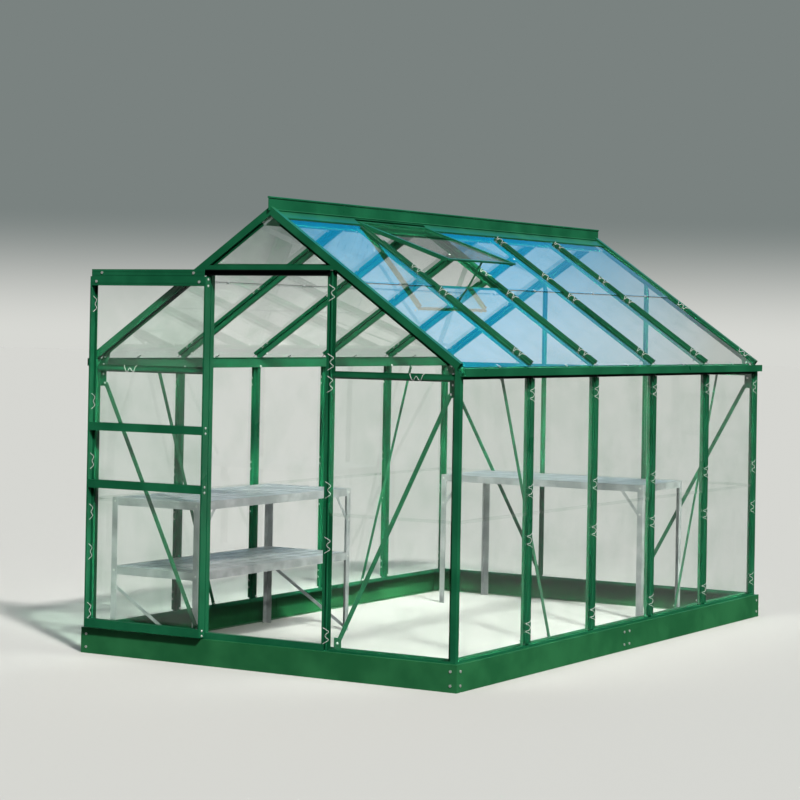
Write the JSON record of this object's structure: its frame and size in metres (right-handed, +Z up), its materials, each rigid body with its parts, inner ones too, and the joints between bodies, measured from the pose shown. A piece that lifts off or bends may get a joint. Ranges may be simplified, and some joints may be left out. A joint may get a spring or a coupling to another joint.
{
  "type": "glass greenhouse",
  "caption": "Small walk-in glass greenhouse: apex roof, gable with a sliding door on a track, propped roof vent, folded metal plinth and slatted staging inside.",
  "frame": {"origin": "on the ground, at the middle of the outline", "axes": "+X to the right seen from the door gable, +Y from the door gable to the rear gable, +Z up"},
  "size_m": [1.982, 3.2382, 2.0567],
  "materials": {
    "green_frame": "dark green powder coat, satin",
    "green_plinth": "dark green powder coat on folded steel, satin",
    "black_track": "black powder coat, satin",
    "glass": "clear horticultural glass, polished",
    "staging": "mill-finish aluminium",
    "wheel_nylon": "moulded nylon",
    "fixings": "bright zinc plate"
  },
  "bodies": {
    "house": {"corner_posts": "green_frame", "door_header": "green_frame", "door_posts": "green_frame", "door_track": "black_track", "gable_bars": "green_frame", "gable_braces": "green_frame", "glass_front": "glass", "glass_left": "glass", "glass_rear": "glass", "glass_right": "glass", "glass_roof_left": "glass", "glass_roof_right": "glass", "gutter_left": "green_frame", "gutter_right": "green_frame", "joint_plates": "green_frame", "plinth_bolts": "fixings", "plinth_gables": "green_plinth", "plinth_joint_plates": "green_plinth", "plinth_sides": "green_plinth", "rafters_front": "green_frame", "rafters_rear": "green_frame", "rear_bars": "green_frame", "ridge": "green_frame", "roof_bars_left": "green_frame", "roof_bars_right": "green_frame", "side_bars_left": "green_frame", "side_bars_right": "green_frame", "side_braces": "green_frame", "sills_gables": "green_frame", "sills_sides": "green_frame", "staging_braces": "staging", "staging_decks": "staging", "staging_legs": "staging", "threshold": "green_frame", "track_stay": "green_frame", "vent_frame": "green_frame", "vent_glass": "glass", "vent_sill": "green_frame", "vent_stay": "green_frame"},
    "door": {"door_stiles": "green_frame", "door_top_rail": "green_frame", "door_rails": "green_frame", "door_bolts": "fixings", "door_glass": "glass", "door_wheels": "wheel_nylon"}
  },
  "joints": [
    {"name": "door_slide", "type": "slide", "parent": "house", "child": "door", "axis": [1, 0, 0], "range_m": [0, 0.625]}
  ]
}
